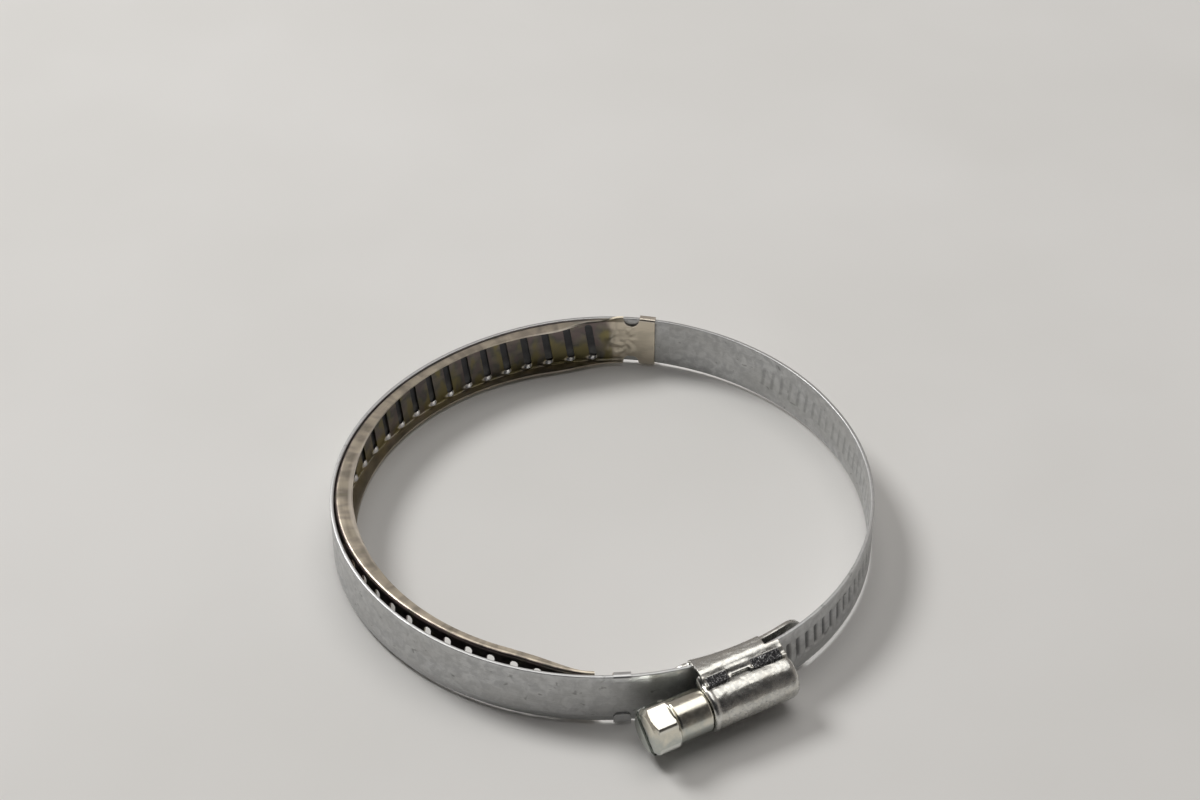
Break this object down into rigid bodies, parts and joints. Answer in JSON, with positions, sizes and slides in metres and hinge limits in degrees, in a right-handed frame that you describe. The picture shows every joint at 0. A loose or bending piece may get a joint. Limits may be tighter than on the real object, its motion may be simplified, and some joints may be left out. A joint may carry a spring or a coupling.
{
  "type": "hose clamp",
  "caption": "Worm-drive hose clamp: a slotted hexagon-head screw draws a threaded steel band closed around a slotted spring liner that presses on the hose.",
  "frame": {"origin": "centre of the hoop at half the band's width", "axes": "+Z along the hoop axis; -Y towards the screw housing; -X towards the screw head"},
  "size_m": [0.085, 0.092, 0.0104],
  "materials": {
    "band": "dull galvanised",
    "liner": "satin stainless with a warm tint",
    "housing": "bright zinc",
    "screw": "bright zinc, faintly yellow"
  },
  "bodies": {
    "housing": {"housing_shell": "housing", "housing_saddle": "housing", "band_anchored_end": "band", "liner_near_end": "liner"},
    "screw": {"worm_screw": "screw"},
    "loop_1": {"band_plain_1": "band", "liner_channel_1": "liner"},
    "loop_2": {"band_plain_2": "band", "liner_channel_2": "liner"},
    "loop_3": {"band_plain_3": "band", "liner_channel_3": "liner"},
    "loop_4": {"band_plain_4": "band", "liner_channel_4": "liner"},
    "loop_5": {"band_plain_5": "band", "liner_channel_5": "liner"},
    "loop_6": {"band_plain_6": "band", "liner_channel_6": "liner"},
    "loop_7": {"band_plain_7": "band", "liner_far_end": "liner"},
    "tail": {"band_threaded_tail": "band"},
    "tail_1": {"band_threaded_1": "band"},
    "tail_2": {"band_threaded_2": "band"},
    "tail_3": {"band_threaded_3": "band"}
  },
  "joints": [
    {"name": "screw_turn", "type": "hinge", "parent": "housing", "child": "screw", "pos_m": [0.00157, -0.04602, 0], "axis": [0.9994, 0.0349, 0], "range_deg": [0, 4320]},
    {"name": "loop_flex_1", "type": "hinge", "parent": "housing", "child": "loop_1", "pos_m": [-0.0278, -0.03175, 0], "axis": [0, 0, 1], "range_deg": [-3.41, 0]},
    {"name": "loop_flex_2", "type": "hinge", "parent": "loop_1", "child": "loop_2", "pos_m": [-0.03904, -0.01601, 0], "axis": [0, 0, 1], "range_deg": [-3.04, 0]},
    {"name": "loop_flex_3", "type": "hinge", "parent": "loop_2", "child": "loop_3", "pos_m": [-0.04209, 0.00309, 0], "axis": [0, 0, 1], "range_deg": [-2.75, 0]},
    {"name": "loop_flex_4", "type": "hinge", "parent": "loop_3", "child": "loop_4", "pos_m": [-0.03602, 0.02139, 0], "axis": [0, 0, 1], "range_deg": [-2.6, 0]},
    {"name": "loop_flex_5", "type": "hinge", "parent": "loop_4", "child": "loop_5", "pos_m": [-0.0223, 0.0346, 0], "axis": [0, 0, 1], "range_deg": [-2.65, 0]},
    {"name": "loop_flex_6", "type": "hinge", "parent": "loop_5", "child": "loop_6", "pos_m": [-0.00449, 0.04069, 0], "axis": [0, 0, 1], "range_deg": [-2.85, 0]},
    {"name": "loop_flex_7", "type": "hinge", "parent": "loop_6", "child": "loop_7", "pos_m": [0.0144, 0.03914, 0], "axis": [0, 0, 1], "range_deg": [-3.17, 0]},
    {"name": "tail_feed", "type": "hinge", "parent": "housing", "child": "tail", "pos_m": [0, -0.00105, 0], "axis": [0, 0, 1], "range_deg": [-32.43, 0]},
    {"name": "tail_flex_1", "type": "hinge", "parent": "tail", "child": "tail_1", "pos_m": [0.03136, -0.02929, 0], "axis": [0, 0, 1], "range_deg": [0, 4.03]},
    {"name": "tail_flex_2", "type": "hinge", "parent": "tail_1", "child": "tail_2", "pos_m": [0.04095, -0.01126, 0], "axis": [0, 0, 1], "range_deg": [0, 4.07]},
    {"name": "tail_flex_3", "type": "hinge", "parent": "tail_2", "child": "tail_3", "pos_m": [0.04095, 0.01021, 0], "axis": [0, 0, 1], "range_deg": [0, 3.89]}
  ],
  "couplings": [
    {"joint": "loop_flex_1", "follows": "screw_turn", "ratio": -0.00078869},
    {"joint": "loop_flex_2", "follows": "screw_turn", "ratio": -0.00070379},
    {"joint": "loop_flex_3", "follows": "screw_turn", "ratio": -0.00063518},
    {"joint": "loop_flex_4", "follows": "screw_turn", "ratio": -0.00060164},
    {"joint": "loop_flex_5", "follows": "screw_turn", "ratio": -0.00061216},
    {"joint": "loop_flex_6", "follows": "screw_turn", "ratio": -0.00065974},
    {"joint": "loop_flex_7", "follows": "screw_turn", "ratio": -0.00073326},
    {"joint": "tail_feed", "follows": "screw_turn", "ratio": -0.0075073},
    {"joint": "tail_flex_1", "follows": "screw_turn", "ratio": 0.00093235},
    {"joint": "tail_flex_2", "follows": "screw_turn", "ratio": 0.00094132},
    {"joint": "tail_flex_3", "follows": "screw_turn", "ratio": 0.00089916}
  ]
}
